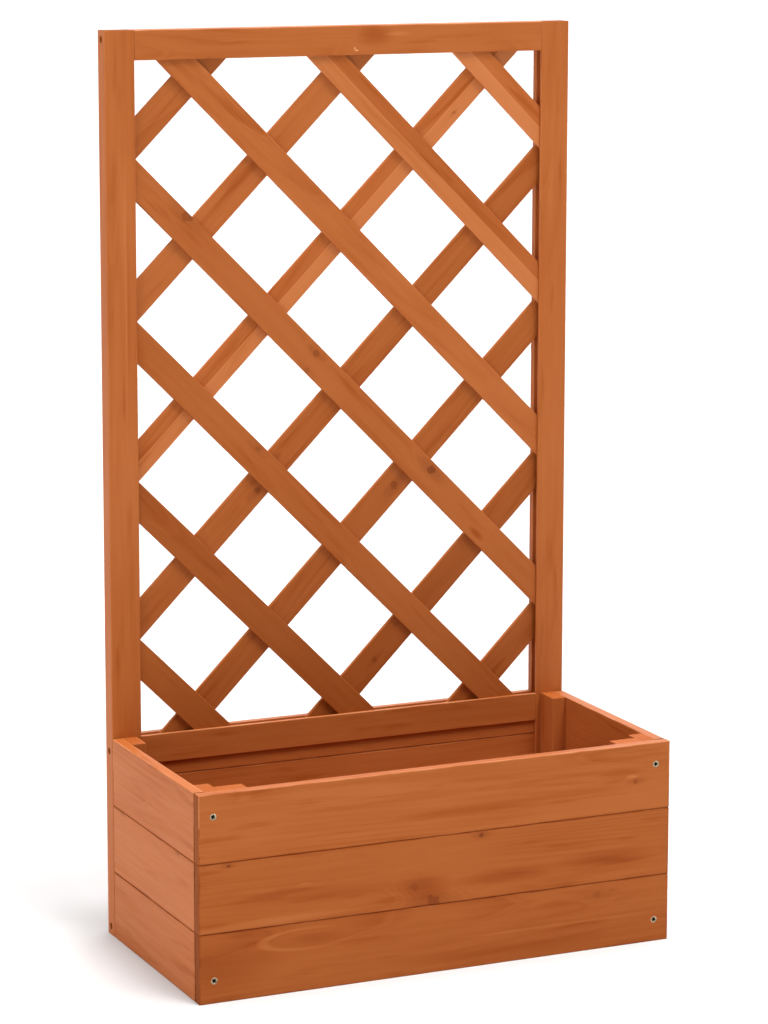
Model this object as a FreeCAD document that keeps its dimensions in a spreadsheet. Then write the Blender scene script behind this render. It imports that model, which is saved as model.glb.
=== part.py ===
"""Planter with trellis: a boarded trough with a diagonal lattice in a frame at its back.

Millimetres. X runs along the trough, Y from its front to its back and Z upwards. The origin is
on the floor, under the middle of the planter's outline. Every piece of wood is planed stock.
"""
import FreeCAD, Part
import math
import os
import Sketcher

# Driving dimensions: alias, value, what it measures.
DIMENSIONS = [
    ("width", 600, "overall, along X"),
    ("depth", 300, "overall, along Y"),
    ("height", 1080, "posts, floor to top"),
    ("post_width", 37, "post, seen from the front"),
    ("frame_depth", 22, "posts and rails, front to back"),
    ("rail_height", 35, "top, middle and bottom rail"),
    ("front_lip", 3, "frame wood in front of the groove"),
    ("groove_depth", 6, "groove in the inner edges of the frame"),
    ("groove_clearance", 0.2, "each side of what sits in the groove"),
    ("end_clearance", 1, "wood ends to the wood they would meet"),
    ("lath_width", 35, "lattice lath"),
    ("lath_thickness", 4.5, "lattice lath"),
    ("lath_angle", 45, "degrees between a lath and the floor"),
    ("corner_reach", 93, "corner of the opening to its short lath's middle, up the post"),
    ("lath_round", 0.8, "rounded long edges of a lath"),
    ("board_width", 81, "trough board"),
    ("board_thickness", 12.5, "trough board"),
    ("board_gap", 0.5, "joint between two boards"),
    ("panel_gap", 2, "end boards to the front and to the posts"),
    ("edge_round", 1, "rounded long edges of all other wood"),
    ("cleat_thickness", 18, "upright cleat"),
    ("cleat_width", 34, "upright cleat"),
    ("cleat_drop", 0.5, "cleat ends below the rim and off the floor"),
    ("batten_size", 18, "square floor batten"),
    ("batten_lift", 12, "floor to the underside of a batten"),
    ("batten_clearance", 3, "batten ends to the upright cleats"),
    ("slat_thickness", 9, "floor slat"),
    ("drain_gap", 8, "between floor slats"),
    ("narrowest_rip", 10, "narrowest strip worth ripping from a board"),
    ("screw_diameter", 4, "shank"),
    ("screw_head", 8, "countersunk head across"),
    ("screw_sink", 0.4, "head below the wood"),
    ("frame_screw_sink", 4, "frame screw head below the post's outer edge"),
    ("bore_clearance", 0.2, "screw to its bore, on the radius"),
    ("panel_screw_length", 40, "front board into cleat"),
    ("frame_screw_length", 60, "post into rail"),
    ("side_screw_length", 50, "post into rear cleat"),
    ("batten_screw_length", 30, "batten into cleat or rail"),
    ("panel_screw_side", 18, "from the planter's end"),
    ("panel_screw_end", 26.5, "from the floor and from the rim"),
    ("frame_screw_end", 10.5, "from the post's ends"),
    ("side_screw_end", 50, "from the floor and from the rim"),
]
BOARD_ROWS = 3  # boards stacked in the front and in each end
SLATS = 6  # slats in the floor
SIDE_LATHS = 3  # laths of each layer on each side of its middle one
SCREW_SIDE_COUNT = 12  # flats round a screw and its bore
TOUCHING = 1e-6  # two places closer than this are the same place

# Places worked out from the driving dimensions, as expressions.
HALF_WIDTH = "(Dims.width / 2)"
FRONT = "(-Dims.depth / 2)"
BACK = "(Dims.depth / 2)"
FRAME_FRONT = "(Dims.depth / 2 - Dims.frame_depth)"
FRAME_MIDDLE = "(Dims.depth / 2 - Dims.frame_depth / 2)"
OPENING_HALF = "(Dims.width / 2 - Dims.post_width)"
BOX_HEIGHT = f"({BOARD_ROWS} * (Dims.board_width + Dims.board_gap) - Dims.board_gap)"
TOP_RAIL_UNDERSIDE = "(Dims.height - Dims.rail_height)"
MIDDLE_RAIL_UNDERSIDE = f"({BOX_HEIGHT} - Dims.rail_height)"
# The groove takes two layers of laths, or a back board of the same thickness.
GROOVE_FILL = "(2 * Dims.lath_thickness)"
GROOVE_FRONT = f"({FRAME_FRONT} + Dims.front_lip)"
GROOVE_BACK = f"({GROOVE_FRONT} + {GROOVE_FILL} + 2 * Dims.groove_clearance)"
FILL_FRONT = f"({GROOVE_FRONT} + Dims.groove_clearance)"
FILL_MIDDLE = f"({FILL_FRONT} + Dims.lath_thickness)"
FILL_BACK = f"({FILL_FRONT} + {GROOVE_FILL})"
HOUSING = "(Dims.groove_depth - Dims.end_clearance)"
LATTICE_FOOT = f"({BOX_HEIGHT} - {HOUSING})"
LATTICE_TOP = f"({TOP_RAIL_UNDERSIDE} + {HOUSING})"
LATTICE_MIDDLE = f"(({BOX_HEIGHT} + {TOP_RAIL_UNDERSIDE}) / 2)"
# The laths are spread evenly, up the lattice's middle line, between the two short corner laths.
CORNER_CROSSING = (
    f"({TOP_RAIL_UNDERSIDE} - {LATTICE_MIDDLE} + {OPENING_HALF} * tan(Dims.lath_angle)"
    " - Dims.corner_reach)"
)
LATH_SPACING = f"({CORNER_CROSSING} / {SIDE_LATHS})"
PANEL_BACK = f"({FRONT} + Dims.board_thickness)"
PANEL_CLEAT_BACK = f"({PANEL_BACK} + Dims.cleat_thickness)"
CLEAT_OUTER = f"({HALF_WIDTH} - Dims.board_thickness)"
CLEAT_INNER = f"({CLEAT_OUTER} - Dims.cleat_thickness)"
CLEAT_LENGTH = f"({BOX_HEIGHT} - 2 * Dims.cleat_drop)"
BACK_PANEL_FOOT = "(Dims.rail_height - Dims.groove_depth)"
BACK_PANEL_TOP = f"({MIDDLE_RAIL_UNDERSIDE} + {HOUSING})"
BATTEN_HALF = f"({CLEAT_INNER} - Dims.batten_clearance)"
BATTEN_MIDDLE = "(Dims.batten_lift + Dims.batten_size / 2)"
FLOOR_FOOT = "(Dims.batten_lift + Dims.batten_size)"
SLAT_WIDTH = f"((2 * {OPENING_HALF} + Dims.drain_gap) / {SLATS} - Dims.drain_gap)"
SHANK_RADIUS = "(Dims.screw_diameter / 2)"
HEAD_RADIUS = "(Dims.screw_head / 2)"
HEAD_CONE = f"({HEAD_RADIUS} - {SHANK_RADIUS})"
TIP_RADIUS = f"({SHANK_RADIUS} / 4)"
MOUTH = f"({SHANK_RADIUS} / 2)"  # how far a bore's cutter stands out of the wood

SIDES = (("left", -1), ("right", 1))

doc = FreeCAD.newDocument("planter_with_trellis")
sheet = doc.addObject("Spreadsheet::Sheet", "Dims")
for row, (alias, size, meaning) in enumerate(DIMENSIONS, start=1):
    sheet.set(f"A{row}", alias)
    sheet.set(f"B{row}", str(size))
    sheet.set(f"C{row}", meaning)
    sheet.setAlias(f"B{row}", alias)
doc.recompute()
subparts = []


def number(expression):
    """The present value of an expression."""
    return float(sheet.evalExpression(expression))


def keep(piece, name):
    """Count an object as a sub-part of the planter, under this name."""
    piece.Label = name
    subparts.append(piece)
    return piece


def place(piece, x="0", y="0", z="0"):
    """Bind a piece's position."""
    for axis, expression in (("x", x), ("y", y), ("z", z)):
        piece.setExpression(f"Placement.Base.{axis}", expression)


def sketch(body, name, plane_role, corners):
    """A closed outline in an origin plane, each corner held at its two expressions."""
    plane = next(item for item in body.Origin.OriginFeatures if item.Role == plane_role)
    outline = body.newObject("Sketcher::SketchObject", name)
    outline.AttachmentSupport = (plane, [""])
    outline.MapMode = "FlatFace"
    points = [FreeCAD.Vector(number(u), number(v), 0) for u, v in corners]
    following = points[1:] + points[:1]
    for start, end in zip(points, following):
        outline.addGeometry(Part.LineSegment(start, end), False)
    for line in range(len(points)):
        after = (line + 1) % len(points)
        outline.addConstraint(Sketcher.Constraint("Coincident", line, 2, after, 1))
    for line, (point, corner) in enumerate(zip(points, corners)):
        for kind, offset, expression in zip("XY", point, corner):
            held = Sketcher.Constraint(f"Distance{kind}", -1, 1, line, 1, offset)
            held_name = f"{kind.lower()}_of_corner_{line}"
            outline.renameConstraint(outline.addConstraint(held), held_name)
            outline.setExpression(f"Constraints.{held_name}", expression)
    return outline


def pad(body, outline, length, both_ways):
    """Extrude an outline, upwards from its plane or equally to both sides of it."""
    feature = body.newObject("PartDesign::Pad", f"{outline.Name}_pad")
    feature.Profile = outline
    feature.SideType = "Symmetric" if both_ways else "One side"
    feature.setExpression("Length", length)
    doc.recompute()
    return feature


def round_corners(body, feature, grain, radius):
    """Round the four long edges that run with the grain at the stock's corners."""
    bounds = feature.Shape.BoundBox
    across = {
        "x": ((bounds.YMin, bounds.YMax), (bounds.ZMin, bounds.ZMax)),
        "y": ((bounds.XMin, bounds.XMax), (bounds.ZMin, bounds.ZMax)),
        "z": ((bounds.XMin, bounds.XMax), (bounds.YMin, bounds.YMax)),
    }[grain]
    corners = []
    for index, edge in enumerate(feature.Shape.Edges, start=1):
        start, end = edge.Vertexes[0].Point, edge.Vertexes[-1].Point
        spots = [
            [getattr(point, axis) for axis in "xyz" if axis != grain] for point in (start, end)
        ]
        along_grain = math.dist(*spots) < TOUCHING
        on_corner = all(
            min(abs(value - limit) for limit in limits) < TOUCHING
            for value, limits in zip(spots[0], across)
        )
        if along_grain and on_corner:
            corners.append(f"Edge{index}")
    rounding = body.newObject("PartDesign::Fillet", f"{body.Name}_rounding")
    rounding.Base = (feature, corners)
    rounding.setExpression("Radius", radius)
    doc.recompute()


def stock(name, grain, length, width, height, radius="Dims.edge_round"):
    """A length of planed wood along X, Y or Z, its long edges rounded."""
    body = doc.addObject("PartDesign::Body", name)
    box = body.newObject("PartDesign::AdditiveBox", f"{name}_box")
    box.setExpression("Length", length)
    box.setExpression("Width", width)
    box.setExpression("Height", height)
    doc.recompute()
    round_corners(body, box, grain, radius)
    return body


# --- Screws, and the bores that they sit in ---------------------------------------------------


def turned(name, stations):
    """A round-section solid about Z, through rings of given radius and height."""
    rings = []
    for index, (radius, height) in enumerate(stations, start=1):
        ring = doc.addObject("Part::RegularPolygon", f"{name}_ring_{index}")
        ring.Polygon = SCREW_SIDE_COUNT
        ring.setExpression("Circumradius", radius)
        place(ring, z=height)
        rings.append(ring)
    solid = doc.addObject("Part::Loft", name)
    solid.Sections = rings
    solid.Solid = True
    solid.Ruled = True
    return solid


def countersunk_screw(name, length):
    """A wood screw that points down, the flat of its head at Z = 0."""
    return turned(name, [
        (HEAD_RADIUS, "0"),
        (SHANK_RADIUS, f"-{HEAD_CONE}"),
        (SHANK_RADIUS, f"-({length} - Dims.screw_diameter)"),
        (TIP_RADIUS, f"-{length}"),
    ])


def bore_cutter(name, length, sink):
    """What a screw's bore takes out of the wood, with the sink above its head."""
    mouth = f"({HEAD_RADIUS} + Dims.bore_clearance)"
    wall = f"({SHANK_RADIUS} + Dims.bore_clearance)"
    return turned(name, [
        (mouth, f"{sink} + {MOUTH}"),
        (mouth, "0"),
        (wall, f"-{HEAD_CONE}"),
        (wall, f"-({length} + Dims.bore_clearance)"),
    ])


def copies(name, original, turns, places):
    """Copies of one body, each turned about an axis and set in its place, as one group."""
    group = []
    for index, ((axis, degrees), (x, y, z)) in enumerate(zip(turns, places), start=1):
        copy = doc.addObject("App::Link", f"{name}_{index}")
        copy.LinkedObject = original
        rotation = FreeCAD.Rotation(FreeCAD.Vector(*axis), degrees)
        copy.Placement = FreeCAD.Placement(FreeCAD.Vector(), rotation)
        place(copy, x, y, z)
        group.append(copy)
    together = doc.addObject("Part::Compound", name)
    together.Links = group
    return together


# Turns that lay a downward screw along each way it is driven.
DRIVEN = {
    "backwards": ((1, 0, 0), 90),
    "forwards": ((1, 0, 0), -90),
    "right": ((0, 1, 0), -90),
    "left": ((0, 1, 0), 90),
}


def screw_group(name, length, sink, drives):
    """One kind of screw at each of its places, and the cutters of its bores."""
    turns = [DRIVEN[way] for way, _ in drives]
    places = [spot for _, spot in drives]
    screw = countersunk_screw(f"{name}_pattern", length)
    cutter = bore_cutter(f"{name}_cutter", length, sink)
    keep(copies(name, screw, turns, places), name)
    return copies(f"{name}_bores", cutter, turns, places)


def front_panel_screw_drives():
    """Near the front's corners, through the boards into the end panels' cleats."""
    heights = ("Dims.panel_screw_end", f"{BOX_HEIGHT} - Dims.panel_screw_end")
    return [
        ("backwards", (f"{side} * ({HALF_WIDTH} - Dims.panel_screw_side)",
                       f"{FRONT} + Dims.screw_sink", height))
        for _, side in SIDES for height in heights
    ]


def frame_screw_drives():
    """From the posts' outer edges into the ends of the three rails."""
    heights = (
        "Dims.frame_screw_end",
        f"{MIDDLE_RAIL_UNDERSIDE} + Dims.rail_height / 2",
        "Dims.height - Dims.frame_screw_end",
    )
    return [
        ("right" if side < 0 else "left",
         (f"{side} * ({HALF_WIDTH} - Dims.frame_screw_sink)", FRAME_MIDDLE, height))
        for _, side in SIDES for height in heights
    ]


def side_panel_screw_drives():
    """From behind, through the posts into the rear cleats."""
    heights = ("Dims.side_screw_end", f"{BOX_HEIGHT} - Dims.side_screw_end")
    return [
        ("forwards", (f"{side} * ({CLEAT_INNER} + {CLEAT_OUTER}) / 2",
                      f"{BACK} - Dims.screw_sink", height))
        for _, side in SIDES for height in heights
    ]


def batten_screw_drives():
    """Front batten into the front panel's cleats, back batten into the bottom rail."""
    drives = []
    for _, side in SIDES:
        across = f"{side} * ({CLEAT_INNER} - Dims.cleat_width / 2)"
        behind_front = f"{PANEL_CLEAT_BACK} + Dims.batten_size - Dims.screw_sink"
        before_back = f"{FRAME_FRONT} - Dims.batten_size + Dims.screw_sink"
        drives.append(("forwards", (across, behind_front, BATTEN_MIDDLE)))
        drives.append(("backwards", (across, before_back, BATTEN_MIDDLE)))
    return drives


bores = doc.addObject("Part::Compound", "bores")
bores.Links = [
    screw_group("front_panel_screws", "Dims.panel_screw_length", "Dims.screw_sink",
                front_panel_screw_drives()),
    screw_group("frame_screws", "Dims.frame_screw_length", "Dims.frame_screw_sink",
                frame_screw_drives()),
    screw_group("side_panel_screws", "Dims.side_screw_length", "Dims.screw_sink",
                side_panel_screw_drives()),
    screw_group("batten_screws", "Dims.batten_screw_length", "Dims.screw_sink",
                batten_screw_drives()),
]


def bored(name, blank):
    """A piece of wood with the bores of the screws that pass through it."""
    piece = doc.addObject("Part::Cut", f"{name}_bored")
    piece.Base = blank
    piece.Tool = bores
    return keep(piece, name)


# --- Trellis frame ----------------------------------------------------------------------------


def post(name, side):
    """An upright of the frame, grooved down the whole of its inner edge."""
    outer = f"{side} * {HALF_WIDTH}"
    inner = f"{side} * {OPENING_HALF}"
    groove_foot = f"{side} * ({OPENING_HALF} + Dims.groove_depth)"
    body = doc.addObject("PartDesign::Body", f"{name}_blank")
    outline = sketch(body, f"{name}_section", "XY_Plane", [
        (outer, FRAME_FRONT),
        (inner, FRAME_FRONT),
        (inner, GROOVE_FRONT),
        (groove_foot, GROOVE_FRONT),
        (groove_foot, GROOVE_BACK),
        (inner, GROOVE_BACK),
        (inner, BACK),
        (outer, BACK),
    ])
    section = pad(body, outline, "Dims.height", both_ways=False)
    round_corners(body, section, "z", "Dims.edge_round")
    bored(name, body)


def rail(name, foot, groove_below, groove_above):
    """A crosspiece between the posts, with a stub tenon for each post's groove."""
    head = f"({foot} + Dims.rail_height)"
    below = f"({foot} + Dims.groove_depth)"
    above = f"({head} - Dims.groove_depth)"
    corners = [(FRAME_FRONT, foot)]
    if groove_below:
        corners += [(GROOVE_FRONT, foot), (GROOVE_FRONT, below),
                    (GROOVE_BACK, below), (GROOVE_BACK, foot)]
    corners += [(BACK, foot), (BACK, head)]
    if groove_above:
        corners += [(GROOVE_BACK, head), (GROOVE_BACK, above),
                    (GROOVE_FRONT, above), (GROOVE_FRONT, head)]
    corners += [(FRAME_FRONT, head)]
    body = doc.addObject("PartDesign::Body", f"{name}_blank")
    outline = sketch(body, f"{name}_section", "YZ_Plane", corners)
    section = pad(body, outline, f"2 * {OPENING_HALF}", both_ways=True)
    round_corners(body, section, "x", "Dims.edge_round")
    tenon_foot = below if groove_below else foot
    tenon_head = above if groove_above else head
    tenon = sketch(body, f"{name}_tenon", "YZ_Plane", [
        (FILL_FRONT, tenon_foot),
        (FILL_BACK, tenon_foot),
        (FILL_BACK, tenon_head),
        (FILL_FRONT, tenon_head),
    ])
    pad(body, tenon, f"2 * ({OPENING_HALF} + {HOUSING})", both_ways=True)
    bored(name, body)


for side_name, side in SIDES:
    post(f"{side_name}_post", side)
rail("top_rail", TOP_RAIL_UNDERSIDE, groove_below=True, groove_above=False)
rail("middle_rail", MIDDLE_RAIL_UNDERSIDE, groove_below=True, groove_above=True)
rail("bottom_rail", "0", groove_below=False, groove_above=True)


# --- Lattice: two layers of laths, housed in the frame's groove --------------------------------

lattice = doc.addObject("Part::Box", "lattice_field")
lattice.setExpression("Length", f"2 * ({OPENING_HALF} + {HOUSING})")
lattice.setExpression("Width", GROOVE_FILL)
lattice.setExpression("Height", f"{LATTICE_TOP} - {LATTICE_FOOT}")
place(lattice, f"-({OPENING_HALF} + {HOUSING})", FILL_FRONT, LATTICE_FOOT)

lath_stock = stock(
    "lath_stock", "x", "Dims.width / cos(Dims.lath_angle) + 2 * Dims.lath_width",
    "Dims.lath_thickness", "Dims.lath_width", "Dims.lath_round",
)
place(lath_stock, x=f"-{HALF_WIDTH} / cos(Dims.lath_angle) - Dims.lath_width",
      z="-Dims.lath_width / 2")


def lath(name, lean, layer_front, steps):
    """A lath that crosses the lattice's upright middle line some steps from its centre."""
    turned_lath = doc.addObject("App::Link", f"{name}_uncut")
    turned_lath.LinkedObject = lath_stock
    turned_lath.LinkTransform = True
    angle = FreeCAD.Rotation(FreeCAD.Vector(0, lean, 0), 1)
    turned_lath.Placement = FreeCAD.Placement(FreeCAD.Vector(), angle)
    turned_lath.setExpression("Placement.Rotation.Angle", "Dims.lath_angle")
    place(turned_lath, y=layer_front, z=f"{LATTICE_MIDDLE} + {steps} * {LATH_SPACING}")
    cut = doc.addObject("Part::Common", f"{name}_cut")
    cut.Base = turned_lath
    cut.Tool = lattice
    keep(cut, name)


for index, steps in enumerate(range(-SIDE_LATHS, SIDE_LATHS + 1), start=1):
    lath(f"front_lath_{index}", 1, FILL_FRONT, steps)
    lath(f"back_lath_{index}", -1, FILL_MIDDLE, steps)


# --- Trough -----------------------------------------------------------------------------------


def board_foot(index):
    """Height of the underside of a board in the front or in an end."""
    return f"({index - 1} * (Dims.board_width + Dims.board_gap))"


for index in range(1, BOARD_ROWS + 1):
    name = f"front_board_{index}"
    board = stock(f"{name}_blank", "x", "Dims.width", "Dims.board_thickness", "Dims.board_width")
    place(board, f"-{HALF_WIDTH}", FRONT, board_foot(index))
    bored(name, board)
    for side_name, side in SIDES:
        name = f"{side_name}_board_{index}"
        length = f"{FRAME_FRONT} - {PANEL_BACK} - 2 * Dims.panel_gap"
        board = stock(name, "y", "Dims.board_thickness", length, "Dims.board_width")
        middle = f"({HALF_WIDTH} + {CLEAT_OUTER}) / 2"
        place(board, f"{side} * {middle} - Dims.board_thickness / 2",
              f"{PANEL_BACK} + Dims.panel_gap", board_foot(index))
        keep(board, name)


def back_board(index, foot, width):
    """A board in the grooves of the posts, below the middle rail."""
    name = f"back_board_{index}"
    board = stock(name, "x", f"2 * ({OPENING_HALF} + {HOUSING})", GROOVE_FILL, width)
    place(board, f"-({OPENING_HALF} + {HOUSING})", FILL_FRONT, foot)
    keep(board, name)


back_pitch = "(Dims.board_width + Dims.board_gap)"
full_rows = int(number(f"({BACK_PANEL_TOP} - {BACK_PANEL_FOOT} + Dims.board_gap) / {back_pitch}"))
for index in range(1, full_rows + 1):
    back_board(index, f"{BACK_PANEL_FOOT} + {index - 1} * {back_pitch}", "Dims.board_width")
strip_foot = f"({BACK_PANEL_FOOT} + {full_rows} * {back_pitch})"
strip_width = f"({BACK_PANEL_TOP} - {strip_foot})"
if number(strip_width) >= number("Dims.narrowest_rip"):
    back_board(full_rows + 1, strip_foot, strip_width)


def cleat(name, left, front, width, thickness):
    """An upright cleat inside the trough, drilled for its screws."""
    blank = stock(f"{name}_blank", "z", width, thickness, CLEAT_LENGTH)
    place(blank, left, front, "Dims.cleat_drop")
    bored(name, blank)


for side_name, side in SIDES:
    end_left = f"{side} * ({CLEAT_OUTER} + {CLEAT_INNER}) / 2 - Dims.cleat_thickness / 2"
    cleat(f"{side_name}_front_cleat", end_left, PANEL_BACK,
          "Dims.cleat_thickness", "Dims.cleat_width")
    cleat(f"{side_name}_rear_cleat", end_left, f"{FRAME_FRONT} - Dims.cleat_width",
          "Dims.cleat_thickness", "Dims.cleat_width")
    panel_left = f"{side} * ({CLEAT_INNER} - Dims.cleat_width / 2) - Dims.cleat_width / 2"
    cleat(f"{side_name}_panel_cleat", panel_left, PANEL_BACK,
          "Dims.cleat_width", "Dims.cleat_thickness")

for name, front in (
    ("floor_batten_front", PANEL_CLEAT_BACK),
    ("floor_batten_back", f"{FRAME_FRONT} - Dims.batten_size"),
):
    batten = stock(f"{name}_blank", "x", f"2 * {BATTEN_HALF}", "Dims.batten_size",
                   "Dims.batten_size")
    place(batten, f"-{BATTEN_HALF}", front, "Dims.batten_lift")
    bored(name, batten)


for index in range(1, SLATS + 1):
    name = f"floor_slat_{index}"
    # The outermost slats would meet the front panel's cleats, and start behind them.
    stop = PANEL_CLEAT_BACK if index in (1, SLATS) else PANEL_BACK
    front = f"({stop} + Dims.end_clearance)"
    length = f"{FRAME_FRONT} - Dims.end_clearance - {front}"
    slat = stock(name, "y", SLAT_WIDTH, length, "Dims.slat_thickness")
    left = f"-{OPENING_HALF} + {index - 1} * ({SLAT_WIDTH} + Dims.drain_gap)"
    place(slat, left, front, FLOOR_FOOT)
    keep(slat, name)


# --- Checks and files -------------------------------------------------------------------------

doc.recompute()
for item in doc.Objects:
    if "Invalid" in item.State or "Error" in item.State:
        raise RuntimeError(f"{item.Label} did not build: {item.State}")
for piece in subparts:
    if piece.Shape.isNull() or not piece.Shape.isValid() or not piece.Shape.Solids:
        raise RuntimeError(f"{piece.Label} has no sound shape")

os.makedirs("parts", exist_ok=True)
for piece in subparts:
    piece.Shape.exportStep(os.path.join("parts", f"{piece.Label}.step"))
    bounds = piece.Shape.BoundBox
    print(f"{piece.Label}: {len(piece.Shape.Solids)} solid(s), {piece.Shape.Volume:.0f} mm3, "
          f"X {bounds.XMin:.1f}..{bounds.XMax:.1f}, Y {bounds.YMin:.1f}..{bounds.YMax:.1f}, "
          f"Z {bounds.ZMin:.1f}..{bounds.ZMax:.1f}")
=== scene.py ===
"""Planter with trellis: stained softwood, zinc screws and staples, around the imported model."""
import math
import random

import bpy
import numpy as np
from mathutils import Matrix, Vector


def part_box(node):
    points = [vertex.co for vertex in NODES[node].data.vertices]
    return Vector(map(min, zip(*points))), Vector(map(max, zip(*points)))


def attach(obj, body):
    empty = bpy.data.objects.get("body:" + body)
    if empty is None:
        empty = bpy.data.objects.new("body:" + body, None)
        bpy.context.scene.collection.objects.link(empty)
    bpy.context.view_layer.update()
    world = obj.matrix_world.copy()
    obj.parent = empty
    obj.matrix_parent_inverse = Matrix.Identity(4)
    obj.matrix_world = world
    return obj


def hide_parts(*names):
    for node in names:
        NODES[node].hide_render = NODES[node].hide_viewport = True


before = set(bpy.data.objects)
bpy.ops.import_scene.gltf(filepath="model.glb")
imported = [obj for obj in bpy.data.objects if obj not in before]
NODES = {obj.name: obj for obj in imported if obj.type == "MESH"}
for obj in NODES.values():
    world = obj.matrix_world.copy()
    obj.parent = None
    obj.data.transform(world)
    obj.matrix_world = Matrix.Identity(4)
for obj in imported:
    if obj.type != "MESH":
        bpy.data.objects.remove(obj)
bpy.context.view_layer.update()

MM = 0.001

# --- Camera: at the photograph's viewing angle, level, turned left of the planter's front ------

CAMERA_PLACE = (-1.6858, -3.6949, 1.2895)
CAMERA_YAW = math.radians(-24.467)
CAMERA_PITCH = math.radians(-9.593)
CAMERA_ROLL = math.radians(0.082)
FOCAL_PIXELS = 3514.7
PICTURE_HEIGHT = 1024
OPTICAL_CENTRE_ROW = 440


def place_camera():
    """A long lens at standing height, shifted a little so that uprights stay upright."""
    data = bpy.data.cameras.new("camera")
    data.sensor_width = 36
    data.lens = data.sensor_width * FOCAL_PIXELS / PICTURE_HEIGHT
    data.shift_y = OPTICAL_CENTRE_ROW / PICTURE_HEIGHT - 0.5
    data.clip_end = 100
    camera = bpy.data.objects.new("camera", data)
    camera.matrix_world = (
        Matrix.Translation(CAMERA_PLACE)
        @ Matrix.Rotation(CAMERA_YAW, 4, "Z")
        @ Matrix.Rotation(math.pi / 2 + CAMERA_PITCH, 4, "X")
        @ Matrix.Rotation(CAMERA_ROLL, 4, "Z")
    )
    bpy.context.scene.collection.objects.link(camera)
    bpy.context.scene.camera = camera


# --- Shader maths --------------------------------------------------------------------------


class Signal:
    """An output of a shader node. Arithmetic on signals adds the Math nodes it needs."""

    def __init__(self, tree, socket=None):
        self.tree = tree
        self.socket = socket

    def node(self, kind, values, settings=None, output=0):
        """Another node: its settings come first, then the values or links of its sockets."""
        made = self.tree.nodes.new(kind)
        for name, value in (settings or {}).items():
            if name == "stops":
                elements = made.color_ramp.elements
                for stop, (place, shade) in enumerate(value):
                    element = elements[stop] if stop < 2 else elements.new(place)
                    element.position = place
                    element.color = (shade, shade, shade, 1)
            else:
                setattr(made, name, value)
        for name, value in values.items():
            if isinstance(value, Signal):
                self.tree.links.new(value.socket, made.inputs[name])
            else:
                made.inputs[name].default_value = value
        return Signal(self.tree, made.outputs[output])

    def math(self, operation, *values):
        return self.node("ShaderNodeMath", dict(enumerate(values)), {"operation": operation})

    def __add__(self, other):
        return self.math("ADD", self, other)

    __radd__ = __add__

    def __mul__(self, other):
        return self.math("MULTIPLY", self, other)

    __rmul__ = __mul__

    def __sub__(self, other):
        return self.math("SUBTRACT", self, other)

    def __rsub__(self, other):
        return self.math("SUBTRACT", other, self)

    def __truediv__(self, other):
        return self.math("DIVIDE", self, other)

    def __pow__(self, other):
        return self.math("POWER", self, other)

    def smooth(self, low, high):
        """0 below low, 1 above high and a soft step between. It falls when low is above high."""
        return self.node(
            "ShaderNodeMapRange",
            {"Value": self, "From Min": low, "From Max": high, "To Min": 0.0, "To Max": 1.0},
            {"interpolation_type": "SMOOTHSTEP"},
        )

    def tint(self, first, second):
        """A colour from the first to the second as this signal goes from 0 to 1."""
        return self.node(
            "ShaderNodeMix", {0: self, 6: first, 7: second}, {"data_type": "RGBA"}, output=2
        )


def new_material(name):
    """An empty node material: the root of its signals, and its Principled shader."""
    material = bpy.data.materials.new(name)
    material.use_nodes = True
    tree = material.node_tree
    shader = tree.nodes["Principled BSDF"]
    return material, Signal(tree), shader


def feed(shader, name, signal):
    """Link a signal to a socket of the shader."""
    signal.tree.links.new(signal.socket, shader.inputs[name])


# --- Stained softwood --------------------------------------------------------------------------

STAIN_PALE = (0.510, 0.164, 0.0470)
STAIN_MIDDLE = (0.424, 0.113, 0.0236)
STAIN_DEEP = (0.278, 0.050, 0.0029)
KNOT_BROWN = (0.110, 0.011, 0.0002)
# Where the stain has worn off an arris or a chip has broken out, paler wood shows. The same colour
# paints the highlight on the rims' upper arrises.
BARE_WOOD_AND_HIGHLIGHT = (0.820, 0.380, 0.1900)
# How bright the end grain is beside the face: sawn and raw on boards, sanded on the cleats.
SAWN_END = 0.70
SANDED_END = 0.96
END_CONTRAST = 1.1
# A deeper coat, of stain or of painted shade, takes most from blue, less from green and least from
# red.
COAT_POWERS = (1.0, 1.4, 2.4)
LATH_WIDTH = 35 * MM
LATTICE_MIDDLE = 644.5 * MM
LATH_SPACING = 190.167 * MM
LATH_COUNT = 7
LEFT_TO_RIGHT = {"front": 1, "back": -1}
# Tone runs from 0, pale, to 1, deep. A piece starts in the middle and each pattern moves it.
MIDDLE_TONE = 0.44
RING_TONE = 0.20
PALE_LINE_TONE = 0.12
STREAK_TONE = 0.34
FIBRE_TONE = 0.22
FLECK_TONE = 0.10
BAND_TONE = 0.24
CLOUD_TONE = 0.45
HEARTWOOD_LINE_TONE = 0.40
# Arrises in the boards' joints hold more stain, and other arrises a little less.
JOINT_TONE = 0.50
SOFT_ARRIS_TONE = -0.15
# How pale the upper arris of a rim is: partly worn stain, partly a painted highlight where light
# from above catches it.
RIM_WEAR_AND_HIGHLIGHT = 0.34


def lath_height(number):
    """Where the middle line of a lath, counted from the lowest, crosses the upright middle line."""
    return LATTICE_MIDDLE + (number - 1 - LATH_COUNT // 2) * LATH_SPACING


def stained(shade, coat_and_light, share=1.0):
    """A stain colour under a thin coat, above 1, or a deep one, below 1. The coat also carries
    painted light and shade for some pieces.
    """
    channels = [share * channel * coat_and_light**power for channel, power in zip(shade, COAT_POWERS)]
    return (*channels, 1)


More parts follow.
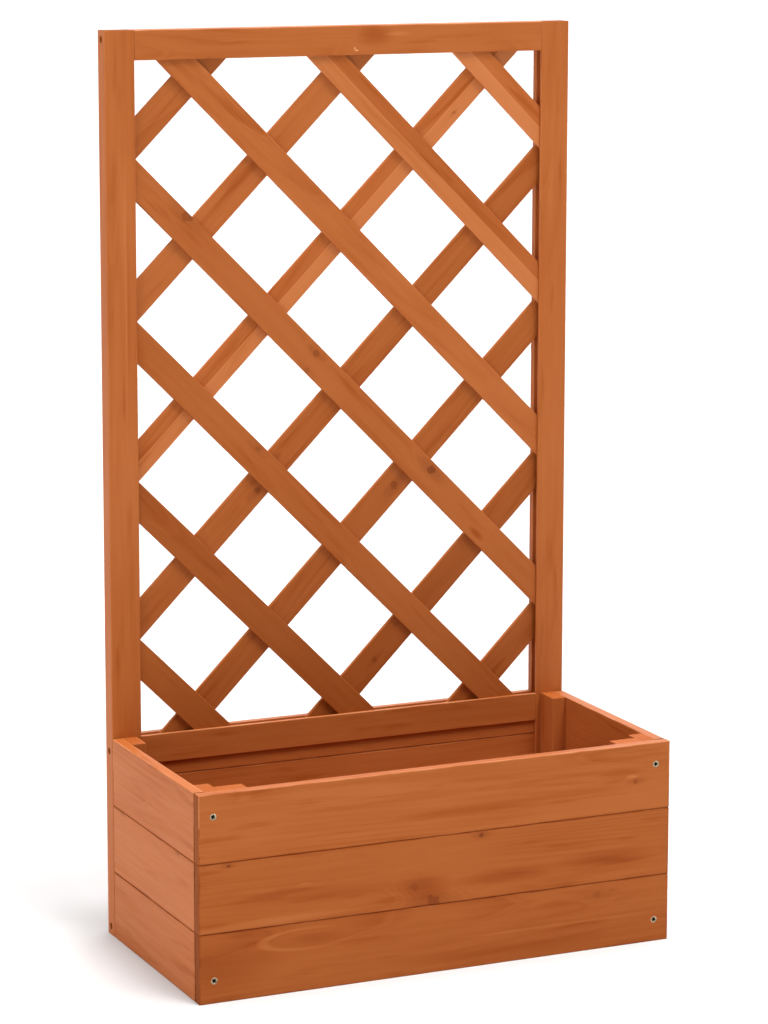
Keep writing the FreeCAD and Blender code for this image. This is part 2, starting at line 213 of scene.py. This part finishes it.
class Timber:
    """The grain of one piece: signals along it, across its face and through its thickness.

    A lath's coordinates are first turned by 45 degrees. The longest side of the piece's box
    then lies along the grain, the next across it, and the shortest through it.
    """

    def __init__(self, root, name, chance):
        self.root = root
        self.chance = chance
        low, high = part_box(name)
        size = [float(side) for side in high - low]
        centre = [float(middle) for middle in (low + high) / 2]
        place = root.node("ShaderNodeTexCoord", {}, output=3)
        normal = root.node("ShaderNodeTexCoord", {}, output=1)
        if "_lath_" in name:
            way = LEFT_TO_RIGHT[name.split("_")[0]]
            turn = {"Rotation": (0, -way * math.pi / 4, 0)}
            place = root.node("ShaderNodeMapping", {"Vector": place, **turn})
            normal = root.node("ShaderNodeMapping", {"Vector": normal, **turn})
            x, y, z = centre
            slant = math.sqrt(0.5)
            height = lath_height(int(name.split("_")[-1]))
            centre = [(x - way * z) * slant, y, height * slant]
            size = [math.hypot(size[0], size[2]), size[1], LATH_WIDTH]
        order = sorted(range(3), key=lambda axis: -size[axis])
        self.long, self.wide, self.thick = (size[axis] for axis in order)
        parts = [self.pick(place, axis) - centre[axis] for axis in order]
        self.along, self.across, self.through = parts
        self.facing_end = self.pick(normal, order[0])
        self.point = root.node("ShaderNodeCombineXYZ", dict(enumerate(parts)))
        self.shift = [chance.uniform(-40, 40) for _ in range(3)]

    def pick(self, vector, axis):
        """One coordinate of a vector."""
        return self.root.node("ShaderNodeSeparateXYZ", {"Vector": vector}, output=axis)

    def noise(self, width, stretch, detail=2.0, roughness=0.5):
        """Noise centred on zero, of a width across the grain and drawn out along it."""
        scale = (1 / width / stretch, 1 / width, 1 / width)
        vector = self.root.node(
            "ShaderNodeMapping", {"Vector": self.point, "Location": self.shift, "Scale": scale}
        )
        noise = self.root.node(
            "ShaderNodeTexNoise",
            {"Vector": vector, "Scale": 1.0, "Detail": detail, "Roughness": roughness},
        )
        return noise - 0.5

    def distance(self, along, across, stretch):
        """How far a point of the face is from a spot, with the grain's direction shortened."""
        du = (self.along - along) / stretch
        dv = self.across - across
        return (du * du + dv * dv) ** 0.5

    def edge_mask(self):
        """1 on the piece's edges: where the second nearest of its three pairs of faces is close."""
        gaps = [
            size / 2 - part.math("ABSOLUTE", part)
            for size, part in (
                (self.long, self.along),
                (self.wide, self.across),
                (self.thick, self.through),
            )
        ]
        smaller = self.root.math("MINIMUM", gaps[0], gaps[1])
        larger = self.root.math("MAXIMUM", gaps[0], gaps[1])
        second = self.root.math("MAXIMUM", smaller, self.root.math("MINIMUM", larger, gaps[2]))
        return second.smooth(2.2 * MM, 0.4 * MM)


def growth_rings(timber, knots, sway):
    """Rings round the log's heart, as a turn from 0 to 1 in each ring.

    The heart runs beside the piece and leans a little, so faces show stripes or long arches and
    ends show arcs. Sway bends the heart, ripple roughens the rings and knots push them aside.
    """
    chance = timber.chance
    heart_across = chance.uniform(-0.4, 0.4) * timber.wide
    heart_through = chance.choice((-1, 1)) * chance.uniform(32, 75) * MM
    lean_across = chance.uniform(-0.03, 0.03)
    lean_through = chance.uniform(-0.05, 0.05)
    ring_width = chance.uniform(3.4, 5.6) * MM
    ripple = timber.noise(24 * MM, 8)
    off_across = timber.across - heart_across - lean_across * timber.along + sway * (16 * MM)
    off_through = timber.through - heart_through - lean_through * timber.along + sway * (9 * MM)
    radius = (off_across * off_across + off_through * off_through) ** 0.5 + ripple * (3 * MM)
    for along, across, size, _ in knots:
        radius = radius + timber.distance(along, across, 2.2).smooth(3.4 * size, 0.0) * (2 * size)
    turns = radius / ring_width
    return turns.math("FRACT", turns)


def knot_shade(timber, knots, ragged):
    """How dark the knots are: an uneven core with rings of its own in a paler reddish halo."""
    total = None
    for along, across, size, depth in knots:
        distance = timber.distance(along, across, 1.2) + ragged * (1.6 * size)
        core = distance.smooth(1.1 * size, 0.6 * size)
        rings = distance / (0.28 * size)
        rings = 0.8 + 0.2 * rings.math("SINE", rings * math.tau)
        halo = timber.distance(along, across, 3.0).smooth(1.9 * size, 0.5 * size) * 0.3
        spot = timber.root.math("MAXIMUM", core * rings, halo) * depth
        total = spot if total is None else timber.root.math("MAXIMUM", total, spot)
    return total


def streak_shade(timber, streaks, sway, ragged):
    """Single soft streaks, darker above 0 and paler below it, that bend and fray with the grain."""
    total = 0.0
    for along, across, half_length, half_width, depth in streaks:
        du = (timber.along - along) / half_length
        dv = (timber.across - across + sway * (6 * MM)) / half_width
        distance = (du * du + dv * dv) ** 0.5 + ragged * 1.6
        total = total + distance.smooth(1.15, 0.1) * depth
    return total


def loop_shade(timber, loops, sway):
    """Pale growth lines that close in a long loop, clearest at their left end."""
    total = 0.0
    for along, across, half_length, half_width, depth in loops:
        du = (timber.along - along) / half_length
        dv = (timber.across - across + sway * (4 * MM)) / half_width
        distance = (du * du + dv * dv) ** 0.5
        line = distance.smooth(0.78, 0.94) * distance.smooth(1.14, 1.0)
        total = total + line * du.smooth(1.0, -0.7) * depth
    return total


def heartwood_shade(timber, split, sway):
    """A lath sawn across the heartwood's border: a step in tone along a wavy, paler line."""
    if split is None:
        return 0.0
    border, step = split
    side = timber.across - border + sway * (10 * MM)
    line = side.math("ABSOLUTE", side).smooth(1.3 * MM, 0.2 * MM)
    return (side.smooth(-2 * MM, 2 * MM) - 0.5) * step - line * HEARTWOOD_LINE_TONE


def chips_wear_and_highlight(timber, chips, ragged, wear_and_highlight):
    """How bare or lit the wood is painted: wear and a painted highlight along the arrises, and
    small chips with frayed edges.
    """
    total = wear_and_highlight
    for along, across, half_length, half_width in chips:
        du = (timber.along - along) / half_length
        dv = (timber.across - across) / half_width
        distance = (du * du + dv * dv) ** 0.5 + ragged * 0.8
        total = timber.root.math("MAXIMUM", total, distance.smooth(1.1, 0.7) * 0.8)
    return total


class Grain:
    """The patterns that the tone, colour and relief of one piece are mixed from."""

    def __init__(self, timber, name):
        self.timber = timber
        self.name = name
        self.knots = KNOTS.get(name, ())
        self.sway = timber.noise(110 * MM, 14, detail=1.0)
        self.turn = growth_rings(timber, self.knots, self.sway)
        self.latewood = timber.root.node(
            "ShaderNodeValToRGB", {"Fac": self.turn}, {"stops": RING_STOPS}
        )
        self.fibre = timber.noise(1.1 * MM, 60, detail=3.0, roughness=0.6)
        self.streak = timber.noise(6.5 * MM, 26, detail=3.0, roughness=0.55)
        self.cloud = timber.noise(75 * MM, 2.6, detail=2.0)
        self.fleck = timber.noise(1.6 * MM, 7, detail=1.0).smooth(0.20, 0.30)
        arris_patches = timber.noise(20 * MM, 2, detail=3.0).smooth(-0.25, 0.2)
        self.arris = timber.edge_mask() * arris_patches
        on_rim = name.endswith("rail") or (name.endswith("board_3") and name != "back_board_3")
        self.rim = timber.across.smooth(0.0, 5 * MM) * float(on_rim)

    def tone(self):
        """How deep the stain looks, with the rings showing clearly only in patches."""
        timber = self.timber
        name = self.name
        turn = self.turn
        ring_patches = timber.noise(45 * MM, 5, detail=1.0).smooth(-0.12, 0.16)
        pale_line = turn.smooth(0.86, 0.94) * turn.smooth(1.0, 0.96) * ring_patches
        band = timber.noise(13 * MM, 9, detail=2.0).smooth(0.07, 0.24)
        arris_tone = JOINT_TONE if "_board_" in name else SOFT_ARRIS_TONE
        return (
            MIDDLE_TONE
            + (self.latewood - 0.4) * ring_patches * RING_TONE
            - pale_line * PALE_LINE_TONE
            + self.streak * STREAK_TONE
            + self.fibre * FIBRE_TONE
            + self.fleck * FLECK_TONE
            + band * BAND_TONE
            + self.cloud * CLOUD_TONE
            + self.arris * (1 - self.rim) * arris_tone
            + streak_shade(timber, STREAKS.get(name, ()), self.sway, self.streak)
            - loop_shade(timber, LOOPS.get(name, ()), self.sway)
            + heartwood_shade(timber, HEARTWOOD.get(name), self.sway)
        )

    def face_colour(self, coat_and_light):
        """The colour of the long faces: stain by tone, then rims worn and with a painted highlight,
        and chips, then knots.
        """
        tone = self.tone()
        pale = stained(STAIN_PALE, coat_and_light)
        surface = tone.smooth(-0.25, 0.65).tint(pale, stained(STAIN_MIDDLE, coat_and_light))
        surface = tone.smooth(0.30, 1.15).tint(surface, stained(STAIN_DEEP, coat_and_light))
        chips = CHIPS.get(self.name, ())
        # The rims' upper arrises are paler: worn stain and a painted highlight.
        bare_or_highlight = chips_wear_and_highlight(self.timber, chips, self.fibre, self.arris * self.rim * RIM_WEAR_AND_HIGHLIGHT)
        surface = bare_or_highlight.tint(surface, BARE_WOOD_AND_HIGHLIGHT + (1,))
        if self.knots:
            lumps = self.timber.noise(5 * MM, 1.5, detail=2.0)
            knotty = knot_shade(self.timber, self.knots, lumps)
            surface = knotty.tint(surface, KNOT_BROWN + (1,))
        return surface

    def end_colour(self, coat_and_light):
        """The colour of the end grain: the rings as arcs, in a darker stain."""
        arcs = self.latewood * 0.7 + self.fibre * 0.9 + self.cloud * 0.5 + 0.1
        share = SANDED_END if self.name.endswith("cleat") else SAWN_END
        pale = stained(STAIN_MIDDLE, coat_and_light, share * END_CONTRAST)
        return arcs.smooth(0.0, 1.0).tint(pale, stained(STAIN_DEEP, coat_and_light, share))

    def relief(self):
        """The height of the raised fibres, rings, streaks and flecks."""
        return self.latewood * 0.4 + self.fibre * 1.0 + self.streak * 0.6 + self.fleck * 0.5


def wood(name, seed, coat_and_light):
    """Stained softwood cut from its own place in a log, with its own knots and streaks."""
    material, root, shader = new_material(f"stained_wood_{name}")
    timber = Timber(root, name, random.Random(seed))
    grain = Grain(timber, name)
    end_face = timber.facing_end.math("ABSOLUTE", timber.facing_end).smooth(0.75, 0.95)
    feed(shader, "Base Color", end_face.tint(grain.face_colour(coat_and_light), grain.end_colour(coat_and_light)))
    feed(shader, "Roughness", 0.50 + grain.streak * 0.2 + grain.fibre * 0.12 + end_face * 0.22)
    shader.inputs["Specular IOR Level"].default_value = 0.12
    bump = {"Strength": 0.3, "Distance": 0.22 * MM, "Height": grain.relief()}
    feed(shader, "Normal", root.node("ShaderNodeBump", bump))
    for slot in NODES[name].material_slots:
        slot.material = material


# Across one ring: the end of the last latewood, pale earlywood and the next dark latewood.
RING_STOPS = ((0.0, 0.55), (1.0, 0.55), (0.14, 0.06), (0.55, 0.28), (0.90, 1.0))

# Knots that show: along the grain and across it from the piece's middle, radius, depth of tone.
KNOTS = {
    "front_board_3": ((0.255, -0.004, 0.0032, 0.62),),
    "front_board_2": (
        (-0.264, 0.037, 0.0024, 0.80),
        (0.052, 0.036, 0.0032, 0.80),
        (-0.010, -0.036, 0.0080, 0.65),
        (-0.034, -0.015, 0.0060, 0.38),
    ),
    "front_board_1": ((0.205, 0.026, 0.0050, 0.35), (0.225, 0.029, 0.0025, 0.30)),
    "left_board_2": ((-0.080, 0.038, 0.0025, 0.55), (0.100, 0.038, 0.0022, 0.45)),
    "front_lath_3": ((-0.130, 0.010, 0.0045, 0.45),),
    "front_lath_4": (
        (-0.294, 0.014, 0.0075, 0.60),
        (-0.056, 0.008, 0.0040, 0.55),
        (-0.051, -0.014, 0.0038, 0.40),
        (0.159, 0.008, 0.0062, 0.80),
    ),
    "back_lath_2": ((-0.110, -0.002, 0.0038, 0.55), (-0.045, -0.010, 0.0030, 0.50)),
    "back_lath_3": ((0.060, -0.003, 0.0055, 0.65),),
    "back_lath_4": ((-0.159, -0.005, 0.0045, 0.60), (-0.120, 0.004, 0.0035, 0.50)),
    "back_lath_5": ((0.240, -0.008, 0.0018, 0.55),),
}

# Single streaks: along and across, half length, half width, and how much darker they are.
STREAKS = {
    "front_board_3": (
        (0.030, -0.014, 0.105, 0.007, 0.30),
        (0.170, -0.010, 0.090, 0.005, 0.20),
        (-0.120, 0.022, 0.120, 0.014, -0.12),
        (0.235, 0.008, 0.034, 0.007, 0.22),
        (0.250, 0.002, 0.010, 0.003, -0.70),
    ),
    "front_board_2": (
        (0.085, -0.018, 0.075, 0.010, 0.36),
        (0.215, -0.013, 0.075, 0.009, 0.36),
        (-0.020, -0.022, 0.034, 0.022, 0.36),
        (-0.210, -0.034, 0.120, 0.008, -0.30),
        (-0.170, 0.004, 0.010, 0.002, -0.30),
        (-0.140, -0.012, 0.120, 0.010, 0.20),
    ),
    "front_board_1": (
        (-0.280, 0.002, 0.090, 0.032, 0.26),
        (-0.160, 0.020, 0.040, 0.009, 0.26),
        (0.165, -0.004, 0.150, 0.0024, -0.40),
        (0.090, -0.024, 0.170, 0.008, 0.20),
    ),
    "top_rail": ((0.040, 0.006, 0.026, 0.014, 0.36), (0.070, 0.006, 0.018, 0.003, -0.40)),
    "front_lath_4": ((0.262, -0.007, 0.014, 0.005, 0.45),),
    "left_post": ((0.240, 0.004, 0.180, 0.0016, -0.24),),
}

# Closed growth lines: the middle along and across, half length, half width, how much paler.
LOOPS = {
    "front_board_1": ((-0.165, 0.021, 0.060, 0.0125, 0.42),),
}

# Laths sawn across the heartwood's border: the border's place across them and the step.
HEARTWOOD = {
    "front_lath_6": (0.002, 0.42),
    "front_lath_7": (-0.002, 0.36),
    "back_lath_5": (0.001, 0.36),
}

# Small chips that show bare wood: along and across, half length and half width.
CHIPS = {
    "top_rail": ((0.0150, -0.0095, 0.0010, 0.0018), (0.0175, -0.0120, 0.0024, 0.0011)),
}

# Pieces that took the stain more thinly, above 1, or more deeply, below 1. Some also paint light
# and shade: higher laths and boards are paler and lower ones deeper, a painted fall of light
# towards the bottom, and the left boards are paler, painted light from the left.
COATS_AND_PAINTED_LIGHT = {
    "back_board_3": 1.02,
    "back_board_2": 1.07,
    "front_lath_7": 1.22,
    "front_lath_6": 1.12,
    "front_lath_5": 1.08,
    "front_lath_3": 0.95,
    "front_lath_2": 0.84,
    "front_lath_1": 0.88,
    "back_lath_5": 1.20,
    "back_lath_4": 0.94,
    "back_lath_3": 0.92,
    "back_lath_2": 0.82,
    "back_lath_1": 0.90,
    "back_lath_6": 1.06,
    "left_post": 1.05,
    "right_post": 1.06,
    "front_board_2": 0.90,
    "front_board_1": 0.85,
    "left_board_3": 1.12,
    "left_board_2": 1.12,
    "left_board_1": 1.08,
}


def finish_wood():
    """Every wooden piece gets stain of its own depth over its own grain, and some pieces get
    painted light or shade in that depth.
    """
    chance = random.Random(11)
    for seed, name in enumerate(sorted(NODES), start=101):
        # Some coats paint light: paler on the high laths and left boards, deeper on the low laths
        # and boards.
        coat_and_light = COATS_AND_PAINTED_LIGHT.get(name, chance.uniform(0.96, 1.04))
        if not name.endswith("screws"):
            wood(name, seed, coat_and_light)


# --- Screws, staples and pins --------------------------------------------------------------------

HEAD_RADIUS = 4.0 * MM
HEAD_DEPTH = 2.0 * MM
RECESS_REACH = 2.7 * MM
RECESS_HALF_WIDTH = 0.70 * MM
RECESS_HUB = 1.8 * MM
RECESS_DEPTH = 1.6 * MM
DISH_DEPTH = 0.45 * MM
CORE_RADIUS = 1.35 * MM
CREST_RADIUS = 1.95 * MM
THREAD_PITCH = 1.8 * MM
POINT_LENGTH = 4.0 * MM
RAIL_HEIGHTS = (10.5 * MM, 226.5 * MM, 1069.5 * MM)
SCREW_LENGTHS = {
    "front_panel_screws": 40 * MM,
    "frame_screws": 60 * MM,
    "side_panel_screws": 50 * MM,
    "batten_screws": 30 * MM,
}
SLAT_COUNT = 6
# Painted shade: each screw's cross recess is coloured near-black for the shade in its depth.
RECESS_PAINTED_SHADE = (0.012, 0.008, 0.005)
ZINC_DULL = (0.26, 0.20, 0.11)
ZINC_BRIGHT = (0.70, 0.61, 0.44)
STAINED_DULL = (0.13, 0.034, 0.008)
STAINED_BRIGHT = (0.30, 0.090, 0.022)


def ramp(value, low, high):
    """0 below low, 1 above high, with a soft step between them, for arrays."""
    share = np.clip((value - low) / (high - low), 0, 1)
    return share * share * (3 - 2 * share)


def ring_shell(x, y, z, tint):
    """Joins rings of points, one row each, into a closed shell with a point at either end.

    The first and last rows are single points, given as whole rows of equal points.
    """
    rows, columns = x.shape
    grid = np.stack([x, y, z], axis=-1)
    points = np.concatenate([grid[:1, 0], grid[1:-1].reshape(-1, 3), grid[-1:, 0]])
    shades = np.concatenate([tint[:1, 0], tint[1:-1].reshape(-1), tint[-1:, 0]])
    place = 1 + np.arange((rows - 2) * columns).reshape(rows - 2, columns)
    beside = np.roll(place, -1, axis=1)
    sides = np.stack([place[:-1], place[1:], beside[1:], beside[:-1]], axis=-1).reshape(-1, 4)
    last = len(points) - 1
    first_cap = np.stack([np.zeros(columns, int), place[0], beside[0]], axis=-1)
    last_cap = np.stack([np.full(columns, last), beside[-1], place[-1]], axis=-1)
    faces = [*sides.tolist(), *first_cap.tolist(), *last_cap.tolist()]
    return points, faces, shades


def screw_head():
    """A countersunk head with a cross recess, in a frame where the screw drives towards -Z.

    Rings run out from the middle of the face to the rim and back in down the cone. The face
    is dished by (1 - (radius / rim) squared). It sinks further wherever a point is within the
    recess's half width of either arm's middle line and within its reach, or within its hub.
    """
    columns = 48
    face = np.array([0, 0.35, 0.7, 1.05, 1.4, 1.75, 2.1, 2.45, 2.9, 3.5, 3.85, 4.0]) * MM
    cone = np.array([3.92, 3.0, 2.0, 1.5, 0]) * MM
    radius = np.concatenate([face, cone])[:, None]
    angle = np.linspace(0, math.tau, columns, endpoint=False)[None, :]
    x = radius * np.cos(angle)
    y = radius * np.sin(angle)
    arm = np.minimum(np.abs(x), np.abs(y))
    inside = 1 - ramp(arm, RECESS_HALF_WIDTH * 0.8, RECESS_HALF_WIDTH * 1.5)
    inside = inside * (1 - ramp(radius, RECESS_REACH * 0.92, RECESS_REACH * 1.08))
    inside = np.maximum(inside, 1 - ramp(radius, RECESS_HUB * 0.9, RECESS_HUB * 1.2))
    dish = DISH_DEPTH * (1 - (radius / HEAD_RADIUS) ** 2)
    z = -inside * (RECESS_DEPTH - dish) * (1 - 0.4 * radius / RECESS_REACH) - dish
    on_cone = np.arange(len(radius)) >= len(face)
    below = -0.25 * MM - (HEAD_RADIUS - radius) / (HEAD_RADIUS - CORE_RADIUS) * HEAD_DEPTH
    z = np.where(on_cone[:, None], np.maximum(below, -0.25 * MM - HEAD_DEPTH), z)
    tint = np.where(on_cone[:, None], 0.0, inside)
    return ring_shell(x, y, z, tint)


def screw_shank(length):
    """A threaded shank with a point: core radius plus a ridge that climbs one pitch a turn.

    The ridge is a triangle wave of height / pitch - angle / full turn. Over the point's
    length both the core and the ridge shrink to nothing.
    """
    columns = 12
    rows = int(6 * length / THREAD_PITCH)
    height = np.linspace(HEAD_DEPTH, length, rows)[:, None]
    angle = np.linspace(0, math.tau, columns, endpoint=False)[None, :]
    phase = (height / THREAD_PITCH - angle / math.tau) % 1
    ridge = np.clip(1 - np.abs(phase - 0.5) / 0.3, 0, 1)
    taper = np.clip((length - height) / POINT_LENGTH, 0, 1) ** 0.8
    radius = (CORE_RADIUS + (CREST_RADIUS - CORE_RADIUS) * ridge) * taper
    radius[0] = 0
    radius[-1] = 0
    return ring_shell(
        radius * np.cos(angle), radius * np.sin(angle), -height + 0 * radius, 0 * radius
    )


def placed(shell, place, drive, spin=0.0):
    """A shell turned so that -Z becomes the driving direction, spun about it and moved."""
    points, faces, shades = shell
    turn = Vector(drive).to_track_quat("-Z", "Y").to_matrix() @ Matrix.Rotation(spin, 3, "Z")
    return points @ np.array(turn).T + np.array(place), faces, shades


def join_shells(name, shells, material):
    """One piece of many closed shells, with each point's recess shade kept as an attribute."""
    points = []
    faces = []
    shades = []
    for shell_points, shell_faces, shell_shades in shells:
        start = sum(len(part) for part in points)
        points.append(shell_points)
        faces += [[start + corner for corner in face] for face in shell_faces]
        shades.append(shell_shades)
    mesh = bpy.data.meshes.new(name)
    mesh.from_pydata(np.concatenate(points), [], faces)
    recess = mesh.attributes.new("recess", "FLOAT", "POINT")
    recess.data.foreach_set("value", np.concatenate(shades).astype(np.float32))
    mesh.materials.append(material)
    mesh.update()
    piece = bpy.data.objects.new(name, mesh)
    bpy.context.scene.collection.objects.link(piece)
    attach(piece, "root")
    return piece


def zinc(name, dull, bright, metallic):
    """Yellowed zinc plate: cloudy in tone and gloss, and painted near-black, as shade, where the
    recess is deep.
    """
    material, root, shader = new_material(name)
    place = root.node("ShaderNodeTexCoord", {}, output=3)
    cloud = root.node("ShaderNodeTexNoise", {"Vector": place, "Scale": 420.0, "Detail": 3.0})
    speck = root.node("ShaderNodeTexNoise", {"Vector": place, "Scale": 2600.0, "Detail": 2.0})
    recess = root.node("ShaderNodeAttribute", {}, {"attribute_name": "recess"}, output=2)
    plate = (cloud * 0.7 + speck * 0.3).smooth(0.3, 0.7).tint(dull + (1,), bright + (1,))
    # Painted shade: the deep recess turns near-black, loses its metal and gets rougher.
    feed(shader, "Base Color", recess.smooth(0.1, 0.7).tint(plate, RECESS_PAINTED_SHADE + (1,)))
    feed(shader, "Metallic", metallic * (1 - recess))
    shader.inputs["Specular IOR Level"].default_value = 0.1
    feed(shader, "Roughness", 0.30 + cloud * 0.2 + recess * 0.3)
    bump = root.node("ShaderNodeBump", {"Strength": 0.2, "Distance": 0.05 * MM, "Height": speck})
    feed(shader, "Normal", bump)
    return material


def screw_places():
    """Each group's head centres and driving directions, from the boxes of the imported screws."""
    places = {}
    low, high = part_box("front_panel_screws")
    places["front_panel_screws"] = [
        ((x, low.y, z), (0, 1, 0))
        for x in (low.x + HEAD_RADIUS, high.x - HEAD_RADIUS)
        for z in (low.z + HEAD_RADIUS, high.z - HEAD_RADIUS)
    ]
    low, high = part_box("side_panel_screws")
    places["side_panel_screws"] = [
        ((x, high.y, z), (0, -1, 0))
        for x in (low.x + HEAD_RADIUS, high.x - HEAD_RADIUS)
        for z in (low.z + HEAD_RADIUS, high.z - HEAD_RADIUS)
    ]
    low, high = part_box("frame_screws")
    middle = (low.y + high.y) / 2
    places["frame_screws"] = [
        ((x, middle, z), (inwards, 0, 0))
        for x, inwards in ((low.x, 1), (high.x, -1))
        for z in RAIL_HEIGHTS
    ]
    low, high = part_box("batten_screws")
    middle = (low.z + high.z) / 2
    length = SCREW_LENGTHS["batten_screws"]
    places["batten_screws"] = [
        ((x, y, middle), (0, outwards, 0))
        for x in (low.x + HEAD_RADIUS, high.x - HEAD_RADIUS)
        for y, outwards in ((low.y + length, -1), (high.y - length, 1))
    ]
    return places


def drive_screws(material, stained_over):
    """A detailed piece for each group of screws, every recess left at its own angle.

    The frame's screws lie deep in their holes and were stained over with the posts.
    """
    chance = random.Random(5)
    head = screw_head()
    for group, places in screw_places().items():
        shank = screw_shank(SCREW_LENGTHS[group])
        shells = []
        for place, drive in places:
            spin = chance.uniform(0, math.pi / 2)
            shells += [placed(head, place, drive, spin), placed(shank, place, drive, spin)]
        cover = stained_over if group == "frame_screws" else material
        piece = join_shells(f"{group}_detail", shells, cover)
        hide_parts(group)


def staple(crown, thickness, width, leg):
    """A flat wire bent square at two corners: a rectangle carried along down, across, down."""
    half = crown / 2
    bend = 0.8 * MM
    across = np.array([-half, -half, -half + bend, half - bend, half, half])
    height = np.array([-leg, -bend, 0, 0, -bend, -leg])
    middle = np.stack([across, 0 * across, height], axis=-1)
    sideways = np.sign(across) * [1, 0.8, 0.2, 0.2, 0.8, 1]
    upwards = [0, 0.6, 1, 1, 0.6, 0]
    out = np.stack([sideways, 0 * across, upwards], axis=-1)
    side = np.array([0, width / 2, 0])
    rings = np.stack(
        [middle - side, middle + side, middle + side - out * thickness,
         middle - side - out * thickness], axis=1
    )
    points = rings.reshape(-1, 3)
    corner = np.arange(4 * 6).reshape(6, 4)
    beside = np.roll(corner, -1, axis=1)
    sides = np.stack([corner[:-1], corner[1:], beside[1:], beside[:-1]], axis=-1).reshape(-1, 4)
    faces = [*sides.tolist(), corner[0].tolist(), corner[-1][::-1].tolist()]
    return points, faces, np.zeros(len(points))


def pin_head(radius, rise):
    """A low dome on a short stem: height = rise * (1 - (distance / radius) squared)."""
    columns = 8
    share = np.array([0, 0.5, 0.85, 1.0, 0.95, 0])[:, None]
    angle = np.linspace(0, math.tau, columns, endpoint=False)[None, :]
    z = rise * (1 - share**2)
    z[4:] = -0.5 * MM
    flat = 0 * angle
    return ring_shell(
        radius * share * np.cos(angle), radius * share * np.sin(angle), z + flat, share * 0 + flat
    )


def staple_laths(material):
    """A staple at each crossing, through the rear lath into the front one."""
    chance = random.Random(23)
    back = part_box("back_lath_4")[1].y
    half_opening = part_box("middle_rail")[1].x - 20 * MM
    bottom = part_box("middle_rail")[1].z + 8 * MM
    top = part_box("top_rail")[0].z - 8 * MM
    one = staple(9 * MM, 0.7 * MM, 1.3 * MM, 3 * MM)
    heights = [lath_height(number) for number in range(1, LATH_COUNT + 1)]
    shells = []
    for falling in heights:
        for rising in heights:
            x = (falling - rising) / 2
            z = (falling + rising) / 2
            if abs(x) < half_opening and bottom < z < top:
                spin = math.pi / 2 + chance.uniform(-0.25, 0.25)
                x += chance.uniform(-3, 3) * MM
                z += chance.uniform(-3, 3) * MM
                shells.append(placed(one, (x, back + 0.3 * MM, z), (0, -1, 0), spin))
    join_shells("lath_staples", shells, material)


def pin_floor(material):
    """Two pins through each end of each floor slat into the batten below it."""
    chance = random.Random(29)
    one = pin_head(1.3 * MM, 0.25 * MM)
    shells = []
    for number in range(1, SLAT_COUNT + 1):
        low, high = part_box(f"floor_slat_{number}")
        for batten in ("floor_batten_front", "floor_batten_back"):
            batten_low, batten_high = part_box(batten)
            y = (batten_low.y + batten_high.y) / 2
            for share in (0.2, 0.8):
                x = low.x + share * (high.x - low.x) + chance.uniform(-2, 2) * MM
                place = (x, y + chance.uniform(-2, 2) * MM, high.z)
                shells.append(placed(one, place, (0, 0, -1)))
    join_shells("floor_pins", shells, material)


# --- Floor and light -----------------------------------------------------------------------------


FLOOR_WHITE = 0.64
ROOM_LIGHT = 0.12


def lay_floor():
    """A wide pale floor that runs on past the picture."""
    half = 40.0
    mesh = bpy.data.meshes.new("floor")
    corners = [(-half, -half, 0), (half, -half, 0), (half, half, 0), (-half, half, 0)]
    mesh.from_pydata(corners, [], [(0, 1, 2, 3)])
    floor = bpy.data.objects.new("floor", mesh)
    bpy.context.scene.collection.objects.link(floor)
    material, _, shader = new_material("pale_floor")
    shader.inputs["Base Color"].default_value = (FLOOR_WHITE, FLOOR_WHITE, FLOOR_WHITE, 1)
    shader.inputs["Roughness"].default_value = 0.9
    shader.inputs["Specular IOR Level"].default_value = 0.0
    mesh.materials.append(material)


def hang_light(light, towards):
    """Links a light that shines from the side it is turned towards."""
    light.rotation_euler = Vector(towards).to_track_quat("Z", "Y").to_euler()
    bpy.context.scene.collection.objects.link(light)


def soft_sky(name, towards, spread, strength):
    """A very wide sun: even light from one side of the room, with soft-edged shadows."""
    data = bpy.data.lights.new(name, "SUN")
    data.angle = math.radians(spread)
    data.energy = strength
    hang_light(bpy.data.objects.new(name, data), towards)


def softbox(name, place, towards, size, power):
    """A rectangular light hung at a place."""
    data = bpy.data.lights.new(name, "AREA")
    data.shape = "RECTANGLE"
    data.size, data.size_y = size
    data.energy = power
    light = bpy.data.objects.new(name, data)
    light.location = place
    hang_light(light, towards)


def light_studio():
    """A wide ceiling, a key above the front, washes from the left and behind, and one box."""
    world = bpy.data.worlds.new("studio")
    world.use_nodes = True
    background = world.node_tree.nodes["Background"]
    background.inputs["Color"].default_value = (1, 1, 1, 1)
    background.inputs["Strength"].default_value = ROOM_LIGHT
    bpy.context.scene.world = world
    soft_sky("ceiling_light", (0.1, -0.1, 1.0), 60, 3.6)
    soft_sky("key_light", (0.15, -0.34, 0.94), 18, 1.6)
    soft_sky("left_light", (-0.95, -0.15, 0.25), 60, 1.7)
    soft_sky("background_light", (0.42, 0.88, 0.20), 50, 1.3)
    softbox("lattice_light", (0.25, -0.65, 1.75), (0.1, -0.8, 0.85), (0.7, 0.4), 0.8)
    bpy.context.scene.view_settings.view_transform = "Standard"


place_camera()
finish_wood()
plate = zinc("zinc_plate", ZINC_DULL, ZINC_BRIGHT, 0.9)
drive_screws(plate, zinc("stained_over_zinc", STAINED_DULL, STAINED_BRIGHT, 0.3))
staple_laths(plate)
pin_floor(plate)
lay_floor()
light_studio()
